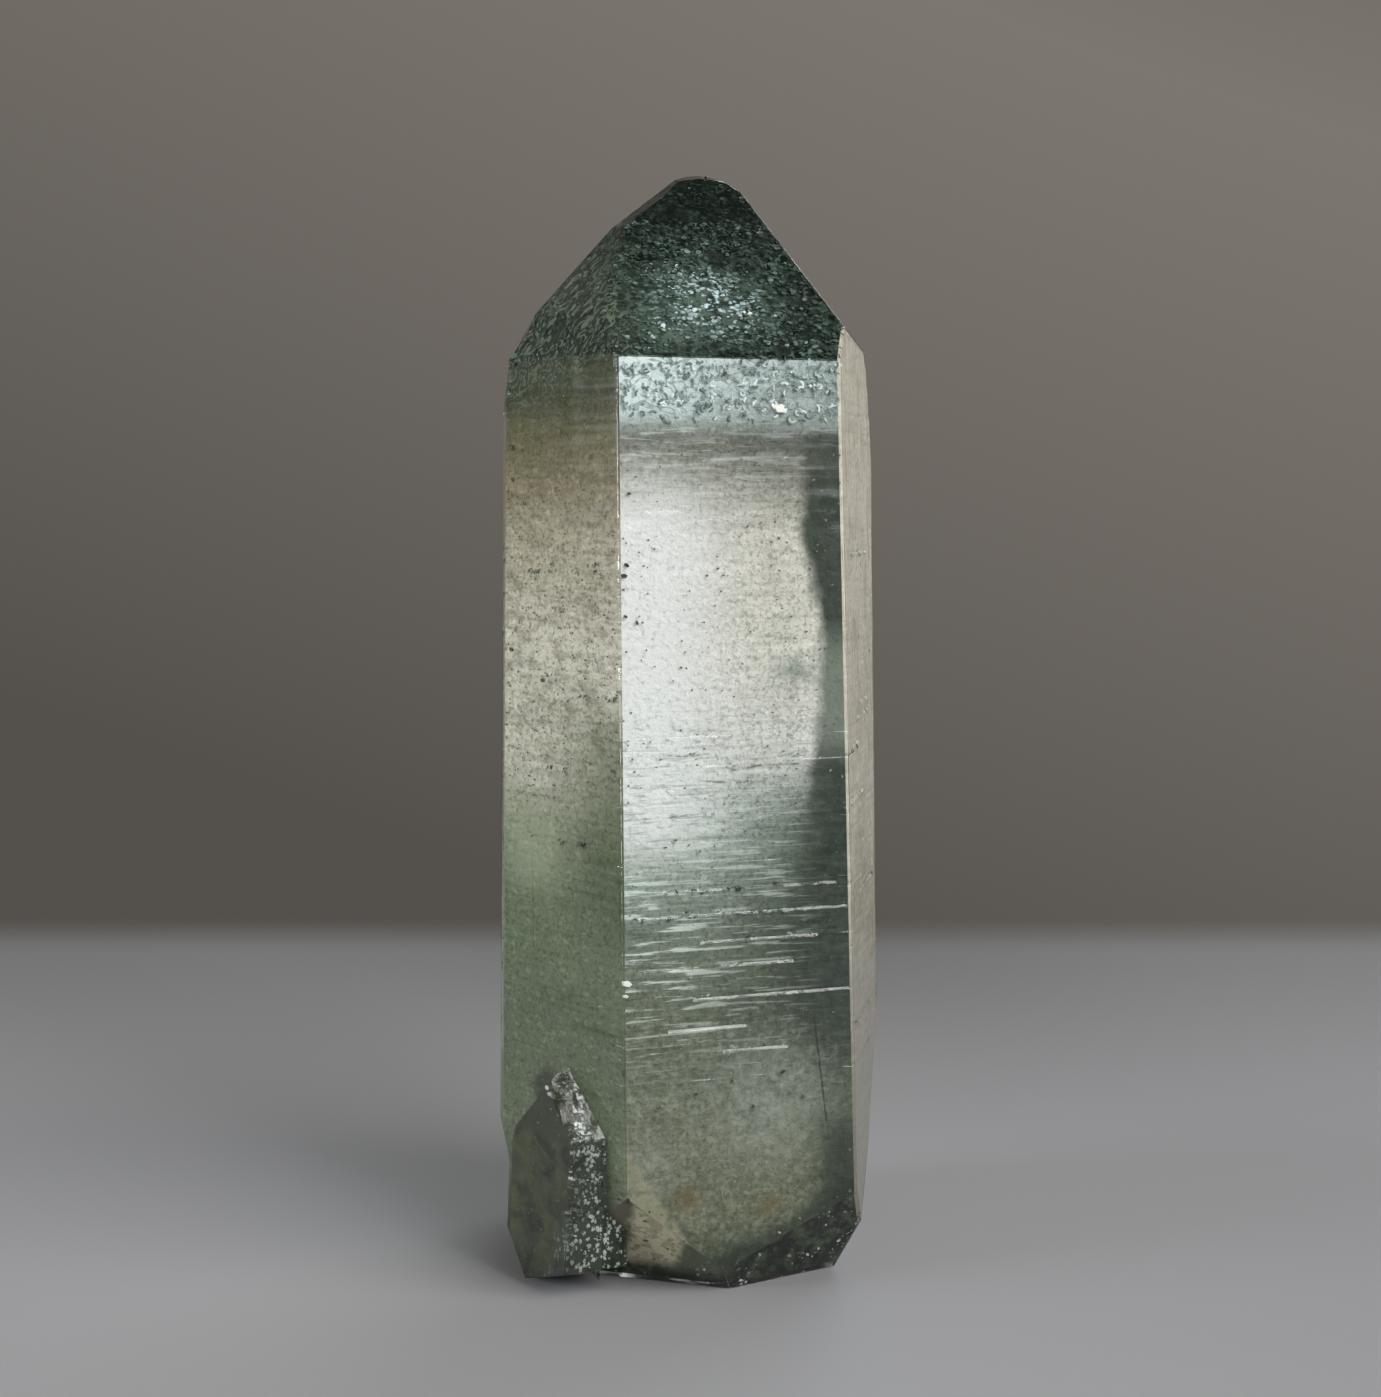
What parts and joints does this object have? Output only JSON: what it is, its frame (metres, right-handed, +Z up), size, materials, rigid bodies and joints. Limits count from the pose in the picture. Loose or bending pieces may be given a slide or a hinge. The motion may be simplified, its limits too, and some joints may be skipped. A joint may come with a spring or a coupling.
{
  "type": "phantom quartz crystal",
  "caption": "Six-sided quartz point with dark green inclusions under the tip, milky zones, a broken foot it stands on, and a small side crystal grown onto one face.",
  "frame": {"origin": "on the surface the crystal stands on, under the middle of its bounding box", "axes": "+Z up the long axis to the point, -Y out of the widest prism face, -X towards the side crystal"},
  "size_m": [0.0336, 0.023, 0.0905],
  "materials": {
    "included_quartz": "clear quartz with green and milky inclusions, glossy growth faces, fine cross striations"
  },
  "bodies": {
    "root": {"quartz_crystal": "included_quartz"}
  },
  "joints": []
}
